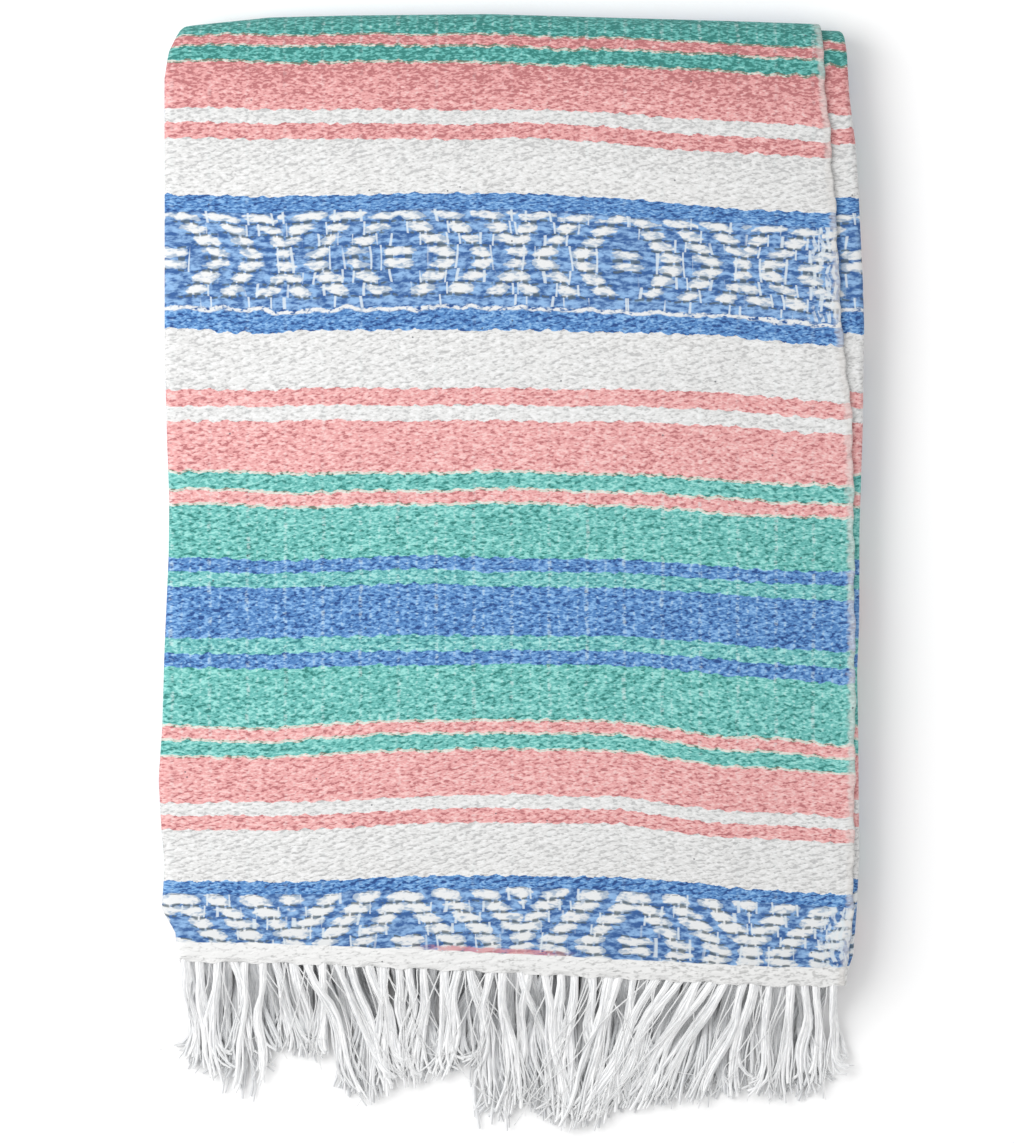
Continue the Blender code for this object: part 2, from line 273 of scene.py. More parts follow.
def diamonds(cloth, u, v, edge, fibre, heather, fall):
    """The band of diamonds: where it lies, with and without its thin white line, its
    colour, the height of its floats and the dark gaps between them."""
    near = abs(v) < HALF_REPEAT
    by_end = v < 0.0
    upper = near - by_end
    loose_u = u + cloth.noise(u / 12, v / 24, 3.3) * 7.0 - (HALF_REPEAT - v) * EYE_LEAN
    loose_v = v + cloth.noise(u / 30, v / 40, 7.7) * 2.4 + cloth.noise(u / 8, v / 8, 2.9) * 3.0
    depth = HALF_REPEAT - loose_v.back_and_forth(HALF_REPEAT)
    row_pitch = near * NEAR_ROW_EXTRA + BAND_ROW + by_end * (END_ROW - BAND_ROW - NEAR_ROW_EXTRA)
    row = depth / row_pitch
    level = row.floor() + 0.5
    first_row, last_row = level < 1.0, level > 3.0
    flat = (row.fract() - 0.5) / ROW_HALF
    in_diamond = depth < by_end * (END_DEPTH - BAND_DEPTH) + BAND_DEPTH

    # white floats: pointed and tilted in the rings, flat at the eye and the waist
    from_eye = (loose_u - EYE_PLACE).back_and_forth(EYE_PITCH / 2)
    ring_place = from_eye + level * RING_STEP
    ring = (((ring_place - RING_START) / RING_PITCH + 0.5).fract() - 0.5) * (RING_PITCH / RING_HALF)
    far_row = last_row * (1 - near)
    reach = ring * (1 - far_row * FAR_STRETCH)
    lift = flat + reach * FLOAT_TILT
    taper = abs(reach) * (FLOAT_TAPER + abs(reach) * (1 - FLOAT_TAPER))
    ring_float = FLOAT_SIZE - taper - lift * lift * (1 + far_row * FAR_THIN)
    ring_float = ring_float - (ring_place < EYE_CLEAR) * NOWHERE
    eye = from_eye / EYE_HALF
    waist = (EYE_PITCH / 2 - from_eye) / WAIST_HALF
    middle_float = EYE_SIZE - (eye * eye).smallest(waist * waist) - flat * flat
    middle_float = middle_float - (1 - first_row) * NOWHERE
    lens = ring_float.largest(middle_float) + by_end * END_WHITE - last_row * upper * NOWHERE
    lens = lens + cloth.noise(u / 3.2, v / 1.3, 5.1) * 0.8
    lens = lens + cloth.noise(u / 7, level * 3, 6.3) * 1.1
    white_float = lens.step(-0.10, 0.26) * in_diamond

    # painted shade in the gaps between two floats, and the warp ends that tie them down
    between = abs(flat).step(0.66, 0.96)
    warp_gap = abs((loose_u / WARP_PITCH).fract() - 0.5).step(0.42, 0.30)
    gap = between * (abs(ring) + heather).step(1.0, 0.6) * warp_gap
    gap = gap * (ring_place > EYE_CLEAR) * (row < by_end + 3.9)
    eye_gap = between * first_row * (from_eye < 8.0) * (from_eye > 3.0)
    gap = gap.largest(eye_gap) * in_diamond
    thread = abs(abs(ring) - THREAD_PLACE).step(0.14, 0.05) * in_diamond
    thread = thread * cloth.noise(u / 8, level * 2.3, 8.8).step(-0.02, 0.04)

    # weft that turns back at the selvage
    turns = (u / 4.3 + cloth.noise(u / 12, v / 8, 2.0) * 1.4).fract() - 0.5
    turns = abs(turns).step(0.14, 0.30) * (edge + heather * 20).step(22, 12) * in_diamond
    turns = turns * cloth.noise(u / 4, v / 4.5, 1.9, 1.0).step(-0.10, 0.02)

    # one thin white pick along the band's border
    wavy = depth + cloth.noise(u / 16, 0.3, 3.9) * 2.6 + fibre * 1.5 - BAND_DEPTH
    white_line = upper * abs(wavy - 1.4).step(1.7, 0.6)
    white_line = white_line * (heather + fall * 0.7).step(-0.34, -0.04)

    streak = fibre * 0.55 + cloth.noise(u / 6, v / 2.6, 4.8, 1.0) * 1.1
    # painted shade and painted highlight: blue floats are drawn darker towards their rows' edges,
    # white floats paler where they stand highest
    blue = cloth.mix((streak * 2.0 + 0.66 - abs(flat) * 0.36).step(0.0, 1.0),
                     *(display(tone) for tone in BLUE_FLOAT))
    white = cloth.mix((streak * 2.4 + lens.largest(white_line) * 0.7 + 0.1).step(0.0, 0.8),
                      *(display(tone) for tone in WHITE_FLOAT))
    colour = cloth.mix(white_float.largest(white_line), blue, white)
    # painted shade in the gaps between floats
    colour = cloth.mix(gap * 0.8, colour, display(FLOAT_GAP_SHADE))
    colour = cloth.mix(thread.largest(turns) * 0.8, colour, display(THREAD_TONE))
    height = lens.step(-0.2, 1.0) * 0.9 + abs(flat).step(0.5, 1.1) * 0.5 + fibre * 0.4
    return in_diamond, in_diamond.largest(white_line), colour, height, gap


def striped_cloth():
    """The finish of the cloth, read from its own place on the loom."""
    cloth = Finish("striped_cotton_twill", YARN_ROUGHNESS)
    across, along, run = cloth.parts(cloth.attribute("loom", "Vector"))
    u, v, run = across * 1000, along * 1000, run * 1000
    edge = cloth.attribute("selvage", "Fac") * 1000

    # spun yarn: fine fibres, flecks of the mixed cotton, and fibres that lie the other way
    climb = v - u * 0.10
    fibre = cloth.noise(u / 2.1, climb / 0.95, 4.4, 1.0)
    heather = cloth.noise(u / 3.4, climb / 1.7, 6.6, 1.0)
    fall = cloth.noise(u / 3.1, (v + u * 0.12) / 1.3, 9.6, 1.0)

    # stripes, whose edges wander and swell over the warp ends
    scallop = (u / (2 * WARP_PITCH) * math.pi + cloth.noise(u / 30, 0.0, 2.7) * 3).sine()
    wander = cloth.noise(u / 6, v / 14, 3.1) * 2.4 + cloth.noise(u / 55, v / 60, 8.3) * 4.0
    place = (v + wander + abs(scallop) + fibre * 1.6).back_and_forth(HALF_REPEAT)
    dark, middle, pale = (
        cloth.node("ShaderNodeValToRGB", {"stops": stripe_stops(tone)},
                   {"Fac": place / HALF_REPEAT})
        for tone in range(3))

    # picks that bulge over every second warp end, in bond like bricks
    loose_u = u + cloth.noise(u / 7, v / 3.4, 1.7) * 7.0
    loose_v = v + cloth.noise(u / 6, v / 4, 5.9) * 3.4
    white_pick = abs(v.back_and_forth(HALF_REPEAT) - WHITE_MIDDLE) < WHITE_HALF
    slant = white_pick * WHITE_SLANT + PICK_SLANT

    def bulge(shift):
        beside = (loose_u / (2 * WARP_PITCH) + shift).fract() * 2 - 1
        above = (loose_v / (2 * PICK_PITCH) + shift).fract() * 2 - 1 - beside * slant
        return 1 - beside * beside * 1.25 - above * above * 1.15

    pick_height = bulge(0.0).largest(bulge(0.5)).largest(-0.3)
    # painted shade: the gaps between the picks are drawn darker, more so towards the header
    gap = (pick_height + heather * 1.2 + fibre * 0.9).step(0.42, -0.02)
    tone = 0.60 + (fibre + heather + fall) * 1.5 - gap * (0.42 + run.step(*OPEN_END) * 0.2)
    # painted shade towards the top fold, where the cloth turns from the light
    for start, end, shade in TOP_FOLD_PAINTED_SHADE:
        tone = tone - v.step(start, end) * shade
    body = cloth.mix(tone.step(-0.05, 0.5), dark, middle)
    body = cloth.mix((tone - 0.5).step(0.0, 0.6), body, pale)

    # white warp ends that show through in faint, broken lines
    ends = abs((u / WARP_SHOWS + cloth.noise(u / 20, v / 16, 2.4) * 0.1).fract() - 0.5)
    ends = ends.step(0.43, 0.48) * (cloth.noise(u / 20, v / 4, 9.1) + fibre * 1.4).step(-0.1, 0.4)
    fine = abs(abs((loose_u * 0.3 + u * 0.7) / WARP_PITCH).fract() - 0.5)
    fine = fine.step(0.32, 0.46) * (heather + fall * 1.2 + fibre).step(-0.1, 0.6)
    warp = (ends * 0.5).largest(fine * 0.42) * (place.step(*DYED_MIDDLE) * 0.7 + 0.3)
    body = cloth.mix(warp, body, display(WARP_TONE))

    in_diamond, in_band, colour, float_height, float_gap = diamonds(
        cloth, u, v, edge, fibre, heather, fall)
    body = cloth.mix(in_band, body, colour)

    # header, with one stray coral pick beside it
    ragged_run = run + cloth.noise(u / 7, 0.5, 4.2) * 1.6
    stray = abs(ragged_run - STRAY_PICK_TOP).step(2.4, 1.2)
    stray = stray * abs(u - STRAY_PICK_MIDDLE).step(54, 26) * (heather + fibre + 0.5).step(0.1, 0.5)
    # painted shade: greyer towards the right, where the light falls off, and darker in the gaps
    # between picks
    plain = cloth.mix((heather * 2.2 + 0.62 - u.step(-80, 220) * 0.25).step(0.0, 0.5),
                      *(display(tone) for tone in HEADER_YARN))
    plain = cloth.mix(gap * 0.12, plain, display(HEADER_GAP_SHADE))
    body = cloth.mix(stray * 0.8, body, display(STRAY_PICK))
    body = cloth.mix(ragged_run.step(*HEADER_TOP), body, plain)

    # the selvage's warp ends lie close and pale
    bound = (edge + cloth.noise(u / 3, v / 3, 6.1) * 5).step(*BOUND_EDGE)
    body = cloth.mix(bound * 0.5, body, display(BOUND_TONE))

    # lint
    spot = cloth.node("ShaderNodeCombineXYZ", None, {0: u / LINT_SPACING, 1: v / LINT_SPACING})
    cells = cloth.node("ShaderNodeTexVoronoi", {"feature": "F1", "voronoi_dimensions": "2D"},
                       {"Vector": spot, "Scale": 1.0}, "Distance")
    lint = cells.step(0.022, 0.012) * (cloth.noise(u / 40, v / 40, 4.9) > 0.10)
    body = cloth.mix(lint * 0.8, body, display(LINT_TONE))

    # the header is the flattest, and the floats of the diamonds stand out most
    weave = pick_height * 0.75 + fibre * 0.8 + heather * 0.6
    weave = weave * (run.step(11.8, 13.4) * 0.55 + 0.45)
    height = in_diamond * float_height + (1 - in_diamond) * weave - float_gap * 0.5
    cloth.finish_with(body, height, WEAVE_RELIEF * MM)
    return cloth.material


striped = striped_cloth()


# The pile. The cloth lies in thirds across its width, as a stack of three plies, and
# that stack in thirds along its length: front leaf, top fold, back leaf on the floor,
# bottom fold, and a leaf tucked between them. Nothing holds it but its own weight.
WALL = 3.0 * MM                 # one ply
PLY_PITCH = 4.3 * MM            # from one ply to the next
HALF_STACK = PLY_PITCH + WALL / 2
LEAF_GAP = 2.5 * MM             # between two of the three stacks
SEAM = 0.3 * MM                 # between two pieces that meet end to end
EASE = 0.8 * MM                 # between the ply on top and those inside
BACK_LEVEL = HALF_STACK
TUCKED_LEVEL = 3 * HALF_STACK + LEAF_GAP
FRONT_LEVEL = 5 * HALF_STACK + 2 * LEAF_GAP
TOP_FOLD_LEVEL = (FRONT_LEVEL + BACK_LEVEL) / 2
TOP_FOLD_RADIUS = (FRONT_LEVEL - BACK_LEVEL) / 2
BOTTOM_FOLD_LEVEL = (TUCKED_LEVEL + BACK_LEVEL) / 2
BOTTOM_FOLD_RADIUS = (TUCKED_LEVEL - BACK_LEVEL) / 2
LEFT_FOLD = (                   # y, x of the rounded edge on the left, in mm
    (-243, -210.0), (-230, -211.0), (-215, -219.4), (-187, -217.5), (-165, -219.5),
    (-131, -221.3), (-98, -219.0), (-46, -217.5), (13, -215.0), (50, -214.5),
    (87, -216.0), (146, -217.5), (322, -217.5), (338, -215.0), (347, -211.0),
)
SELVAGE = (                     # y, x of the front ply's woven edge on the right
    (-241, 209.0), (-229, 212.0), (-199, 214.0), (-115, 215.0), (-52, 215.2),
    (54, 214.2), (100, 213.4), (123, 211.8), (147, 208.1), (194, 205.0),
    (225, 203.8), (255, 201.3), (285, 199.4), (315, 196.3), (344, 194.4),
)
RIGHT_FOLD = (                  # y, x of the fold that shows under the selvage
    (-241, 211.0), (-229, 214.6), (-199, 216.8), (-168, 218.2), (-85, 217.5),
    (-52, 216.9), (-21, 218.2), (38, 218.4), (100, 220.4), (165, 221.3),
    (194, 220.4), (225, 218.8), (255, 217.5), (279, 215.7), (308, 211.9), (342, 210.0),
)
TOP_FOLD = (                    # x, y of the top fold
    (-221, 343.0), (-203, 347.0), (-152, 352.3), (-101, 353.6), (-13, 354.5),
    (68, 352.0), (144, 349.8), (190, 348.2), (222, 347.0),
)
LOWER_EDGE = (                  # x, y where the header ends and the fringe starts
    (-221, -241.5), (-145, -242.6), (-56, -246.2), (34, -250.5), (123, -254.9),
    (168, -257.2), (222, -257.0),
)
PICKS = (                       # y down the middle, place on the loom of the pick there
    (-260, -252.0), (-229.2, -218.5), (-199.2, -188.4), (-195.8, -186.1), (-152.6, -137.6),
    (-135.3, -117.9), (-88.7, -66.9), (-19.7, 0.0), (45.6, 66.9), (117.9, 137.6),
    (166.4, 186.1), (170.2, 188.4), (200.2, 218.5), (230.2, 248.5), (240.9, 262.7),
    (275.3, 299.4), (322.9, 350.4), (334.4, 362.8), (364.4, 401.8),
)
BOW_PLACES = (-214, -152, -79, 4, 68, 129, 175, 206)
BOWS = (                        # y, then how far the pick hangs at each of those x
    (-191, (4.0, 5.0, 1.6, 0, 1.3, 7.2, 10.6, 12.3)),
    (-107, (4.1, 5.6, 1.3, 0, 0.9, 10.2, 12.8, 16.0)),
    (-35, (0.9, 1.3, 0.3, 0, 1.3, 5.0, 8.2, 9.4)),
    (29, (0, 1.3, 0, 0, 1.3, 3.8, 7.8, 9.4)),
    (118, (0, 1.6, -0.6, 0, 0.9, 2.8, 7.8, 9.4)),
    (241, (0.9, 2.5, 0, 0, 4.4, 8.8, 11.3, 13.1)),
    (340, (-1.9, -0.6, 0, 0, 1.9, 5.0, 7.8, 9.4)),
)
SETTLED = 0.028                 # low swells, as a share of the pile's height
SWELL_WIDTH = 0.062
SWELL_LENGTH = 0.078
SWELL_SKEW = 0.15
SWELL_START = 0.6
BOTTOM_FOLD_SET = 28 * MM       # the bottom fold lies this far behind the header's edge
DROOP_START = 35 * MM           # over this length the front leaf droops to that edge
DROOP_RATE = 8.0
BACK_INSET = 2.0 * MM           # how far the leaves below lie inside the front leaf
TUCKED_INSET = 3.0 * MM
TUCKED_SELVAGE = 15 * MM        # and how far the selvage lies inside their right fold
FOLD_RETURN = 14 * MM           # how far the outer ply reaches back under the left fold
RIGHT_FOLD_WIDTH = 30 * MM      # how much of the inner plies goes with their fold
HEADER = 14 * MM
CREST = 0.4                     # radians of the top fold over which the picks lie looser
CREST_SLACK = 0.25
RAGGED = 0.45 * MM              # the header and the selvage are pulled about by their yarns
SELVAGE_RAGGED = 2.5 * MM       # as far in from the selvage
SMOOTH_ANGLE = 60


def at(rows, place):
    """A table's value at a place, both in metres, straight between its rows."""
    key = place / MM
    for (low, low_value), (high, high_value) in zip(rows, rows[1:]):
        if key <= high:
            share = max(0.0, (key - low) / (high - low))
            return (low_value + (high_value - low_value) * share) * MM
    return rows[-1][1] * MM


def bow(x, y):
    """How far the pick at a place hangs below its own middle."""
    column = [(row, at(list(zip(BOW_PLACES, drops)), x) / MM) for row, drops in BOWS]
    return at(column, y)


def settle(x, y):
    """Low swells of the resting pile, as a factor on every height."""
    swell = math.sin(x / SWELL_WIDTH + y / SWELL_SKEW) * math.cos(y / SWELL_LENGTH - SWELL_START)
    return 1 + SETTLED * swell


def bottom_fold_y(x):
    return at(LOWER_EDGE, x) + BOTTOM_FOLD_SET


def top_fold_y(x):
    """Middle of the top fold's half round."""
    return at(TOP_FOLD, x) - TOP_FOLD_RADIUS - HALF_STACK


def place(stretch, along, x, out):
    """A point of the stack: a stretch of its way, how far along it (0 to 1, or the
    angle turned in a fold), x across, and how far out it is from the middle ply."""
    top = top_fold_y(x)
    bottom = bottom_fold_y(x)
    edge = at(LOWER_EDGE, x)
    cloth_end = edge + HEADER + SEAM
    if stretch in ("header", "front"):
        if stretch == "header":
            y = edge + (HEADER + SEAM) * along
        else:
            y = cloth_end + (top - cloth_end) * along
        sag = DROOP_RATE * max(0.0, edge + DROOP_START - y) ** 2
        z = FRONT_LEVEL + out - sag
    elif stretch == "top":
        y = top + (TOP_FOLD_RADIUS + out) * math.sin(along)
        z = TOP_FOLD_LEVEL + (TOP_FOLD_RADIUS + out) * math.cos(along)
    elif stretch == "back":
        y = top + (bottom - top) * along
        z = BACK_LEVEL - out
    elif stretch == "bottom":
        y = bottom - (BOTTOM_FOLD_RADIUS + out) * math.sin(along)
        z = BOTTOM_FOLD_LEVEL - (BOTTOM_FOLD_RADIUS + out) * math.cos(along)
    else:
        y = bottom + (top - LEAF_GAP - bottom) * along
        z = TUCKED_LEVEL + out
    return Vector((x, y, z * settle(x, y)))


def inset(stretch, along):
    """How far a stretch lies inside the front leaf's outline."""
    if stretch in ("header", "front"):
        return 0.0
    if stretch == "top":
        return BACK_INSET * along / math.pi
    if stretch == "back":
        return BACK_INSET
    if stretch == "bottom":
        return BACK_INSET + (TUCKED_INSET - BACK_INSET) * along / math.pi
    return TUCKED_INSET


def edges(stretch, along):
    """Left fold, selvage and right fold of the stack at one row."""
    y = bottom_fold_y(0.0) if stretch == "bottom" else place(stretch, along, 0.0, 0.0).y
    step_in = inset(stretch, along)
    left = at(LEFT_FOLD, y) + step_in
    right = at(RIGHT_FOLD, y) - step_in
    selvage = at(SELVAGE, y) if stretch in ("header", "front") else right - TUCKED_SELVAGE
    return left, selvage, right


def pick(stretch, along, x, slack=1.0):
    """Place on the loom, along the warp, of a point on the outer ply."""
    top = top_fold_y(x)
    leaf = top - bottom_fold_y(x)
    at_top = at(PICKS, top + slack * bow(x, top))
    arc = TOP_FOLD_RADIUS + HALF_STACK
    if stretch in ("header", "front"):
        y = place(stretch, along, x, 0.0).y
        return at(PICKS, y + slack * bow(x, y))
    if stretch == "top":
        return at_top + arc * (min(along, CREST) * CREST_SLACK + along)
    at_back = at_top + arc * (CREST * CREST_SLACK + math.pi)
    if stretch == "back":
        return at_back + leaf * along
    if stretch == "bottom":
        return at_back + leaf + (BOTTOM_FOLD_RADIUS + HALF_STACK) * along
    return at_back + leaf + (BOTTOM_FOLD_RADIUS + HALF_STACK) * math.pi + leaf * along


def rows_of(stretch, count, start=0.0, end=1.0):
    """Evenly spaced rows along one stretch, its start left out."""
    return [(stretch, start + (end - start) * step / count) for step in range(1, count + 1)]


def pile_rows(header, front, top, back, bottom, tucked):
    """Rows for the whole way of the stack, from the header to the tucked leaf's end."""
    return ([("header", 0.0)] + rows_of("header", header) + rows_of("front", front)
            + rows_of("top", top, 0.0, math.pi) + rows_of("back", back)
            + rows_of("bottom", bottom, 0.0, math.pi) + rows_of("tucked", tucked))


def ragged(place, fine, coarse, share=1.0, start=0.0):
    """How far a woven edge strays at a place along it."""
    return RAGGED * (math.sin(place / fine) + share * math.sin(place / coarse + start))


def wall_mesh(section_of, rows, relief, slack):
    """A closed wall of cloth: both faces of a section, swept through its rows. A column
    is the x and height of its outer face, of its inner face, and its place across the
    loom. Each point keeps its place on the loom and its distance to the selvage."""
    sections = [section_of(*row) for row in rows]
    across = len(sections[0]) - 1
    down = len(rows) - 1
    mesh = bmesh.new()
    loom = mesh.verts.layers.float_vector.new("loom")
    selvage = mesh.verts.layers.float.new("selvage")
    bmesh.ops.create_grid(mesh, x_segments=across, y_segments=down, size=0.5)
    outer = list(mesh.verts)
    made = bmesh.ops.extrude_face_region(mesh, geom=mesh.faces[:], use_keep_orig=True)
    inner = [item for item in made["geom"] if isinstance(item, bmesh.types.BMVert)]
    for side, layer in enumerate((outer, inner)):
        for vertex in layer:
            row = rows[round((vertex.co.y + 0.5) * down)]
            columns = sections[round((vertex.co.y + 0.5) * down)]
            column = columns[round((vertex.co.x + 0.5) * across)]
            x, out = column[2 * side], column[2 * side + 1]
            point = place(*row, x, out)
            vertex.co = point + Vector((0, 0, relief(*row, x, point.y, out)))
            if row == ("header", 0.0):
                vertex.co.y += ragged(x, 0.0021, 0.0047, 1.3, 1.0)
            on_front = row[0] in ("header", "front")
            from_selvage = columns[-1][4] - column[4]
            if on_front and from_selvage < SELVAGE_RAGGED:
                vertex.co.x += ragged(point.y, 0.0026, 0.0071)
            run = point.y - at(LOWER_EDGE, x) if on_front else 1.0
            vertex[loom] = Vector((column[4], pick(*row, x, slack), min(run, 1.0)))
            vertex[selvage] = abs(from_selvage)
    bmesh.ops.recalc_face_normals(mesh, faces=mesh.faces[:])
    if mesh.calc_volume(signed=True) < 0:
        bmesh.ops.reverse_faces(mesh, faces=mesh.faces[:])
    return mesh


def finished(name, mesh, finish, slot, *nodes):
    """Make a mesh a smooth piece of the blanket in place of its CAD nodes."""
    data = bpy.data.meshes.new(name)
    mesh.to_mesh(data)
    mesh.free()
    data.shade_smooth()
    data.set_sharp_from_angle(angle=math.radians(SMOOTH_ANGLE))
    data.materials.append(finish)
    piece = bpy.data.objects.new(name, data)
    bpy.context.scene.collection.objects.link(piece)
    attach(piece, "root")
    if nodes:
        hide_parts(*nodes)
    return piece


# Outer cloth. The ply that shows from above and below: it wraps the left fold, lies
# over the front, rolls over the top fold and goes on under the pile and into it.
ACROSS_STEPS = 100
ROUND_STEPS = 10
RETURN_STEPS = 2
SELVAGE_TURNS = (0.5, 1.05, 1.5)    # radians round the selvage's edge
RIPPLE = 0.35                   # mm
RIPPLE_WIDTHS = (0.021, 0.05, 1.3)
RIPPLE_LENGTHS = (0.034, 0.09)
BACK_TROUGHS = 0.6              # the floor presses them flatter on the back
TROUGHS = (                     # x, y, length, width, turn in degrees, depth, in mm
    (-150, 250, 150, 34, 12, 0.9), (60, 285, 190, 30, -7, 0.8), (150, 120, 170, 40, 80, 1.0),
    (-60, 60, 200, 44, 18, 0.7), (-170, -60, 140, 36, 72, 0.9), (90, -60, 170, 38, -22, 0.8),
    (-40, -150, 210, 34, 6, 0.7), (170, -150, 110, 32, 62, 0.9), (10, 180, 160, 46, -14, 0.5),
)


def lie_of_cloth(stretch, along, x, y, out):
    """Soft troughs and swells of the outer ply, pressed into its flat lie."""
    if out < 0:
        return 0.0
    wide, snake, bend = RIPPLE_WIDTHS
    tall, skew = RIPPLE_LENGTHS
    swell = math.sin(x / wide + bend * math.sin(y / snake)) * math.sin(y / tall + x / skew)
    swell *= RIPPLE
    depth = 0.0
    for middle_x, middle_y, length, width, turn, trough in TROUGHS:
        across, up = x - middle_x * MM, y - middle_y * MM
        cos, sin = math.cos(math.radians(turn)), math.sin(math.radians(turn))
        reach = (across * cos + up * sin) / (length * MM / 2)
        aside = (up * cos - across * sin) / (width * MM / 2)
        depth += trough * math.exp(-reach * reach - aside * aside)
    if stretch in ("header", "front"):
        return (swell - depth) * MM
    if stretch == "top":
        return (swell - depth) * MM * (1 + math.cos(along)) / 2
    return depth * MM * BACK_TROUGHS if stretch == "back" else 0.0


def outer_section(stretch, along):
    """The outer ply: back under the left fold, round it, and over to the selvage."""
    left, selvage, _ = edges(stretch, along)
    inner = HALF_STACK - WALL
    middle = left + HALF_STACK
    columns = []
    for step in range(RETURN_STEPS):
        x = left + FOLD_RETURN - (FOLD_RETURN - HALF_STACK) * step / RETURN_STEPS
        columns.append((x, -HALF_STACK, x, -inner, 2 * middle - math.pi * PLY_PITCH - x))
    for step in range(ROUND_STEPS + 1):
        turn = math.pi * (step / ROUND_STEPS - 0.5)
        columns.append((middle - HALF_STACK * math.cos(turn), HALF_STACK * math.sin(turn),
                        middle - inner * math.cos(turn), inner * math.sin(turn),
                        middle - PLY_PITCH * (math.pi / 2 - turn)))
    flat_end = selvage - WALL / 2
    for step in range(1, ACROSS_STEPS + 1):
        x = middle + (flat_end - middle) * step / ACROSS_STEPS
        columns.append((x, HALF_STACK, x, inner, x))
    for turn in SELVAGE_TURNS:
        x = flat_end + WALL / 2 * math.sin(turn)
        half = WALL / 2 * math.cos(turn)
        columns.append((x, PLY_PITCH + half, x, PLY_PITCH - half, x))
    return columns


outer_cloth = finished(
    "outer_cloth",
    wall_mesh(outer_section, pile_rows(4, 140, 22, 60, 10, 24), lie_of_cloth, 1.0),
    striped, "striped_cloth", "front_leaf", "back_leaf")


# Folded edge. The two inner plies turn at the right in one soft fold, which shows
# past the selvage with its stripes a little higher than those of the ply on top.
INNER_TOP = HALF_STACK - WALL - EASE
FOLDED_STEPS = 6
FOLDED_RETURN_STEPS = 4
INNER_SLACK = 0.2               # the inner plies' picks hang less than those on top


def folded_section(stretch, along):
    """The two inner plies: in along the middle ply, round the fold, and back."""
    _, _, right = edges(stretch, along)
    level = (INNER_TOP - HALF_STACK) / 2
    radius = INNER_TOP - level
    inner = radius - WALL
    start = right - RIGHT_FOLD_WIDTH
    middle = right - radius
    columns = []
    for step in range(FOLDED_STEPS):
        x = start + (middle - start) * step / FOLDED_STEPS
        columns.append((x, level + radius, x, level + inner, x))
    for step in range(ROUND_STEPS + 1):
        turn = math.pi * step / ROUND_STEPS
        columns.append((middle + radius * math.sin(turn), level + radius * math.cos(turn),
                        middle + inner * math.sin(turn), level + inner * math.cos(turn),
                        middle + radius * turn))
    for step in range(1, FOLDED_RETURN_STEPS + 1):
        x = middle + (start - middle) * step / FOLDED_RETURN_STEPS
        columns.append((x, level - radius, x, level - inner,
                        middle + radius * math.pi + middle - x))
    return columns


def flat_lie(stretch, along, x, y, out):
    return 0.0


folded_edge = finished(
    "folded_edge",
    wall_mesh(folded_section, pile_rows(3, 110, 16, 50, 8, 30), flat_lie, INNER_SLACK),
    striped, "striped_cloth", "right_fold")


# Inner plies. Two layers that nothing shows but their ends, under the header.
INNER_STEPS = 16
INNER_SET_IN = 8.5 * MM
INNER_LIP = 1.2 * MM            # each ply narrows to a thin, rounded lip near the left fold
LIP_HALF = 0.2 * MM


def inner_section(low, high, set_in):
    """One inner ply, from near the left fold to where the folded edge takes over."""
    def section(stretch, along):
        left, _, right = edges(stretch, along)
        start, stop = left + set_in, right - RIGHT_FOLD_WIDTH - SEAM
        middle = (low + high) / 2
        columns = [(start, middle + LIP_HALF, start, middle - LIP_HALF, start)]
        for step in range(INNER_STEPS + 1):
            x = start + INNER_LIP + (stop - start - INNER_LIP) * step / INNER_STEPS
            columns.append((x, high, x, low, x))
        return columns
    return section


inner_rows = pile_rows(2, 24, 10, 20, 6, 20)
inner_mesh = wall_mesh(inner_section(INNER_TOP - WALL, INNER_TOP, INNER_SET_IN),
                       inner_rows, flat_lie, INNER_SLACK)
lower_mesh = wall_mesh(inner_section(-HALF_STACK, WALL - HALF_STACK, FOLD_RETURN + SEAM),
                       inner_rows, flat_lie, INNER_SLACK)
lower_data = bpy.data.meshes.new("lower_ply")
lower_mesh.to_mesh(lower_data)
lower_mesh.free()
inner_mesh.from_mesh(lower_data)
bpy.data.meshes.remove(lower_data)
finished("inner_plies", inner_mesh, striped, "striped_cloth", "hidden_plies")


# Warp fringe. White warp ends left loose below the header in locks of several soft
# yarns. Three plies end here, so three fringes fall from them and lie on one another.
FRINGE_TIPS = (                 # x, y of the fringe's ragged end
    (-222, -300), (-213, -312), (-201, -316), (-189, -325), (-181, -317), (-174, -344),
    (-166, -335), (-151, -318), (-144, -309), (-114, -312), (-104, -324), (-98, -341),
    (-86, -339), (-75, -330), (-40, -324), (-35, -316), (-20, -320), (-17, -335),
    (-10, -355), (-3, -355), (5, -348), (31, -355), (49, -355), (60, -348), (99, -341),
    (134, -338), (181, -340), (194, -335), (201, -323), (211, -309),
)
FRINGE_LEANS = (                # x of the root, drift to the right in 100 mm
    (-215, -10), (-200, 2), (-186, 20), (-150, 27), (-80, 24), (-30, 10), (0, 4), (55, 0),
    (80, -12), (98, -46), (138, -60), (152, -8), (215, 2),
)
YARN_SIDES = 4
YARN_STEPS = 12
STRAND_RADIUS = 1.45 * MM       # a few thick, loose strands and more thin yarns in each lock
YARN_RADIUS = 0.85 * MM
FRINGES = (
    # name, CAD node, ply's height over the middle one, locks, strands and yarns in a lock,
    # its width and height over the floor, the length of its fall, its reach, its share of lean
    ("front_fringe_yarn", "front_fringe", PLY_PITCH, 44, 3, 6, (2.2, 7.2, 48), 1.0, 1.0),
    ("second_fringe_yarn", "second_fringe", 0.2 * MM, 46, 3, 6, (4.4, 4.0, 28), 0.985, 0.5),
    ("third_fringe_yarn", "third_fringe", -PLY_PITCH, 48, 3, 7, (5.5, 1.6, 18), 0.97, 0.3),
)
WISPS = 100
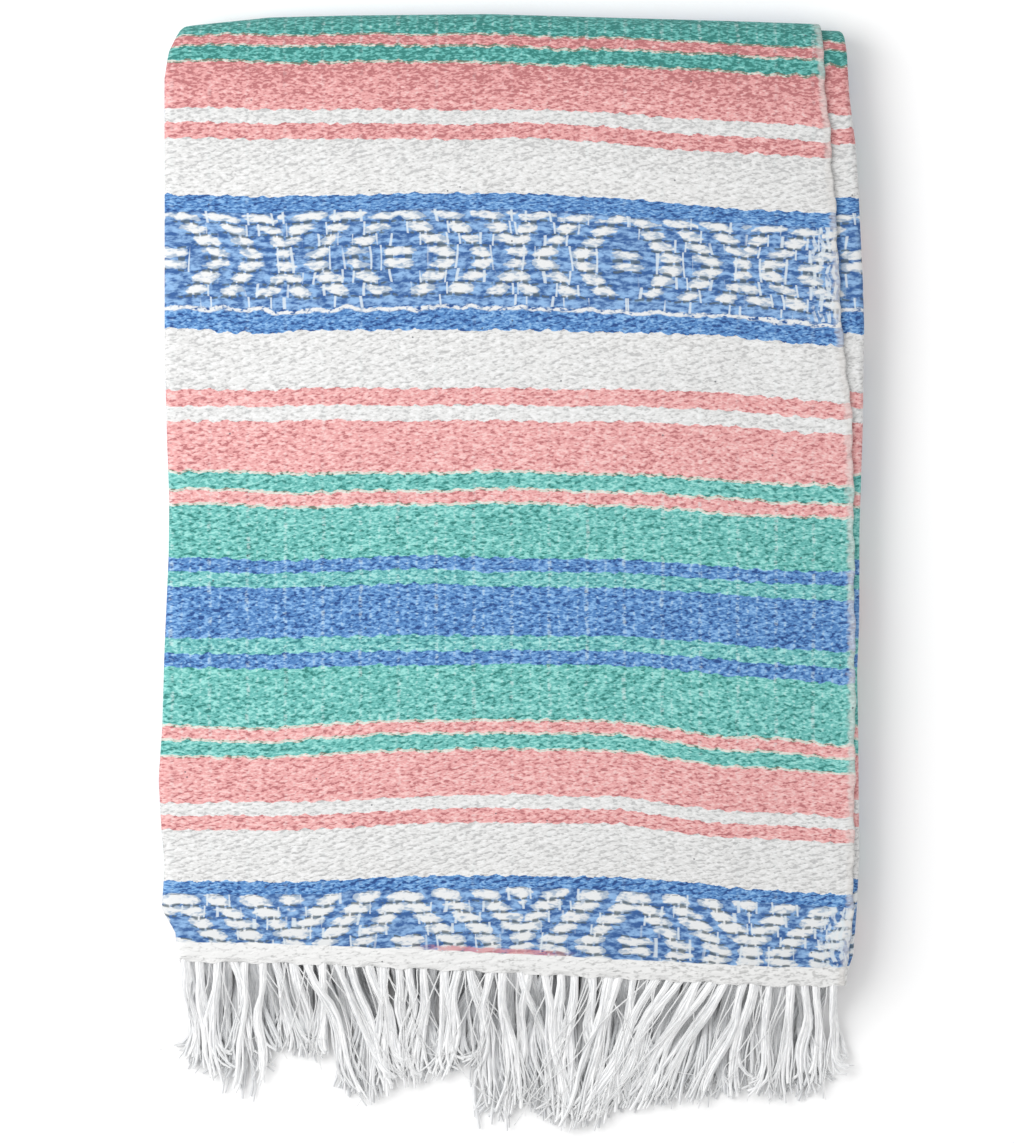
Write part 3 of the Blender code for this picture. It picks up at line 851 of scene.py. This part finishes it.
WISP_RADIUS = 0.35 * MM
WISP_RISE = 2 * MM
WISP_LEAN = 40                  # leans are in mm for each 100 mm of length
WISP_CURL = 2
YARN_TONES = ((216, 218, 220), (254, 254, 254))
YARN_IN_STUDIO = 0.97
YARN_RELIEF = 0.5
YARN_WIDER = 1.2                # a yarn lies a little flattened,
TIP_TAPER = 0.5                 # and is thinner by this share at its tip
YARN_STEP = 8 * MM
STRAY_LOCKS = 0.2               # this share of the locks crosses the others
STRAY_LEAN = (-36, -14)
LOCK_LEAN = 9
LOCK_WIDTHS = (0.7, 1.2)
LOCK_RISE = (-1.0, 2.4)
LOCK_REACH = (0.93, 1.02)
LOCK_WAVE = (0.5, 3.4)          # mm to each side,
WAVE_LENGTH = (9, 16)           # over this many mm for a radian
LOCK_FAN = (1.4, 5.5)           # how far a lock opens towards its tip,
FAN_LENGTH = 85 * MM
LOCK_WAIST = (0.5, 0.9)         # and how far it draws in below the header
WAIST_LENGTH = 40 * MM
LOCK_CURL = 12
CURL_START = 0.72               # curls start this far down a yarn
CURL_RISE = 0.6
RIGHT_END = 0.195               # past here the locks lean in under the cloth
RIGHT_PULL = 1.5
YARN_LEAN = 4
YARN_REACH = (0.87, 1.0)
YARN_RIPPLE = (0.2, 1.3)
YARN_CURL = 3.0
YARN_RISE = 0.9
LONGEST_FALL = 0.7              # of a yarn's length
ROOT_OVERLAP = 2.5 * MM         # how far a yarn starts inside the header
ROOT_SPREAD = 0.25
ASIDE_SPREAD = 0.7
THICKNESSES = (0.75, 1.15)
# painted shade: the fringes below are drawn greyer
PAINTED_SHADE_BELOW = 3                 # the fringes below are greyer
FULL_TURN = 6.3


def white_yarn():
    """The finish of the loose warp ends, read along each yarn."""
    yarn = Finish("white_cotton_yarn", YARN_ROUGHNESS)
    around, along, tint_and_shade = yarn.parts(yarn.attribute("strand", "Vector"))
    fibre = yarn.noise(along * 1000 / 8, around * 3.0, tint_and_shade * 40, 3.0)
    # each yarn's tint is a random tone plus painted shade on the fringes below
    tone = (fibre * 2.6 + 0.6 + tint_and_shade * 0.14).step(0.0, 1.0)
    colour = yarn.mix(tone, *(display(tone, YARN_IN_STUDIO) for tone in YARN_TONES))
    yarn.finish_with(colour, fibre, YARN_RELIEF * MM)
    return yarn.material


def add_yarn(mesh, strand, path, radius, tint_and_shade):
    """One soft yarn: a closed tube along its path, a little thinner at the tip."""
    rings = len(path) + 1
    made = bmesh.ops.create_grid(mesh, x_segments=YARN_SIDES, y_segments=rings, size=0.5)
    for vertex in made["verts"]:
        ring = round((vertex.co.y + 0.5) * rings)
        turn = 2 * math.pi * round((vertex.co.x + 0.5) * YARN_SIDES) / YARN_SIDES
        step = min(max(ring - 1, 0), len(path) - 1)
        ahead = path[min(step + 1, len(path) - 1)] - path[max(step - 1, 0)]
        side = ahead.cross(Vector((0, 0, 1))).normalized()
        over = side.cross(ahead).normalized()
        thick = radius * (1 - TIP_TAPER * (step / len(path)) ** 1.5)
        if ring in (0, rings):
            thick = 0.0
        round_it = side * YARN_WIDER * math.cos(turn) + over * math.sin(turn)
        vertex.co = path[step] + round_it * thick
        vertex[strand] = Vector((math.cos(turn), step * YARN_STEP, tint_and_shade))


class Lock:
    """A loose lock of warp ends: where it hangs from, where it drifts, how it waves."""

    def __init__(self, chance, root_x, ply, shape, reach, lean):
        width, lowest, self.fall = (size * MM for size in shape)
        self.chance, self.root_x, self.ply = chance, root_x, ply
        self.width = width * chance.uniform(*LOCK_WIDTHS)
        drift = at(FRINGE_LEANS, root_x) * lean - max(0.0, root_x - RIGHT_END) * RIGHT_PULL
        stray = chance.random() < STRAY_LOCKS
        astray = chance.uniform(*STRAY_LEAN) if stray else chance.gauss(0, LOCK_LEAN)
        self.lean = drift + astray * MM
        self.rest = lowest + chance.uniform(*LOCK_RISE) * MM
        self.reach = reach * chance.uniform(*LOCK_REACH)
        self.wave = (chance.uniform(*LOCK_WAVE) * MM, chance.uniform(*WAVE_LENGTH) * MM,
                     chance.uniform(0, FULL_TURN))
        self.fan = chance.uniform(*LOCK_FAN)
        self.waist = chance.uniform(*LOCK_WAIST)
        self.curl = chance.uniform(-1, 1) ** 3 * LOCK_CURL * MM

    def path(self, aside):
        """The way of one yarn: out of the header, down in an arc, and along the floor."""
        chance = self.chance
        root = place("header", 0.0, self.root_x + aside * self.width, self.ply)
        lean = self.lean + chance.gauss(0, YARN_LEAN) * MM
        tip = self.root_x + lean
        length = (root.y - at(FRINGE_TIPS, tip)) * self.reach * chance.uniform(*YARN_REACH)
        fall = min(self.fall, length * LONGEST_FALL)
        phase, ripple = chance.uniform(0, FULL_TURN), chance.uniform(*YARN_RIPPLE) * MM
        curl = self.curl + chance.gauss(0, YARN_CURL) * MM
        rest = self.rest + chance.uniform(-YARN_RISE, YARN_RISE) * MM
        swing, span, turn = self.wave
        path = []
        for step in range(YARN_STEPS + 1):
            run = length * step / YARN_STEPS
            share = min(1.0, run / FAN_LENGTH)
            drop = (1 - math.cos(math.pi * min(1.0, run / fall))) / 2
            neck = math.sin(math.pi * min(1.0, run / WAIST_LENGTH))
            gather = 1 + (self.waist - 1) * neck + (self.fan - 1) * share ** 2
            wave = swing * (math.sin(run / span + turn) - math.sin(turn))
            wave = (wave + ripple * math.sin(run / YARN_STEP + phase)) * min(1.0, share * 3)
            end = max(0.0, run / length - CURL_START) / (1 - CURL_START)
            x = (self.root_x + aside * self.width * gather + lean * run / (100 * MM) + wave
                 + curl * end * end)
            y = root.y + ROOT_OVERLAP - run + abs(curl) * CURL_RISE * end ** 3
            z = root.z + (rest - root.z) * drop
            path.append(Vector((x, y, max(z, YARN_WIDER * STRAND_RADIUS))))
        return path


loose_yarn = white_yarn()
chance = random.Random(7)
for name, node, ply, locks, strands, yarns, shape, reach, lean in FRINGES:
    left, selvage, right = edges("header", 0.0)
    front = node == "front_fringe"
    start = left + (1 if front else 6) * MM
    end = selvage - 2 * MM if front else right - 6 * MM
    pitch = (end - start) / locks
    mesh = bmesh.new()
    strand = mesh.verts.layers.float_vector.new("strand")
    for number in range(locks):
        root_x = start + pitch * (number + 0.5 + chance.uniform(-ROOT_SPREAD, ROOT_SPREAD))
        lock = Lock(chance, root_x, ply, shape, reach, lean)
        for piece in range(strands + yarns):
            if piece < strands:
                thick, aside = STRAND_RADIUS, piece / (strands - 1) - 0.5
            else:
                thick, aside = YARN_RADIUS, chance.uniform(-ASIDE_SPREAD, ASIDE_SPREAD)
            lock.ply = ply + chance.uniform(-ASIDE_SPREAD, ASIDE_SPREAD) * MM
            # the last number is a random tint plus painted shade on the fringes below
            add_yarn(mesh, strand, lock.path(aside), thick * chance.uniform(*THICKNESSES),
                     chance.uniform(-1, 1) - (1 - lean) * PAINTED_SHADE_BELOW)
    for _ in range(WISPS if front else 0):
        lock = Lock(chance, chance.uniform(start, end), ply, shape, reach, lean)
        lock.rest += WISP_RISE
        lock.lean += chance.uniform(-WISP_LEAN, WISP_LEAN) * MM
        lock.curl *= WISP_CURL
        add_yarn(mesh, strand, lock.path(0.0), WISP_RADIUS, 1.0)
    bmesh.ops.remove_doubles(mesh, verts=mesh.verts[:], dist=1e-7)
    bmesh.ops.recalc_face_normals(mesh, faces=mesh.faces[:])
    finished(name, mesh, loose_yarn, "white_yarn", node)


# Floor, light and camera. A plain pale floor, a soft key from the upper left, and a
# long lens straight above.
FRAME_HEIGHT = 0.7155
LENS = 135
SENSOR = 36
CLOTH_TOP = 0.038
MIDDLE = (-0.0028, 0.0033)      # of the photograph's frame
FLOOR_TONE = 0.96
STUDIO_LIGHT = 0.80
WHITE_LIGHT = (1.0, 1.0, 1.0, 1.0)

mesh = bmesh.new()
bmesh.ops.create_grid(mesh, x_segments=1, y_segments=1, size=4.0)
floor_data = bpy.data.meshes.new("floor")
mesh.to_mesh(floor_data)
mesh.free()
floor = bpy.data.objects.new("floor", floor_data)
bpy.context.scene.collection.objects.link(floor)
paper = Finish("pale_floor", 0.9)
paper.feed(paper.shader.inputs["Base Color"], (*[FLOOR_TONE] * 3, 1.0))
floor_data.materials.append(paper.material)

world = bpy.data.worlds.new("soft_studio")
bpy.context.scene.world = world
world.use_nodes = True
sky = world.node_tree.nodes["Background"]
sky.inputs["Color"].default_value = WHITE_LIGHT
sky.inputs["Strength"].default_value = STUDIO_LIGHT
bpy.context.scene.view_settings.view_transform = "Standard"


def soft_light(name, place_at, size, power):
    """A square soft box that faces the middle of the pile."""
    lamp = bpy.data.lights.new(name, "AREA")
    lamp.size = size
    lamp.energy = power
    stand = bpy.data.objects.new(name, lamp)
    stand.location = place_at
    stand.rotation_euler = (-Vector(place_at)).to_track_quat("-Z", "Y").to_euler()
    bpy.context.scene.collection.objects.link(stand)


soft_light(name="key", place_at=(-0.75, 0.2, 1.1), size=1.0, power=12)

lens = bpy.data.cameras.new("camera")
lens.lens = LENS
lens.sensor_width = SENSOR
camera = bpy.data.objects.new("camera", lens)
camera.location = (*MIDDLE, CLOTH_TOP + FRAME_HEIGHT * LENS / SENSOR)
bpy.context.scene.collection.objects.link(camera)
bpy.context.scene.camera = camera
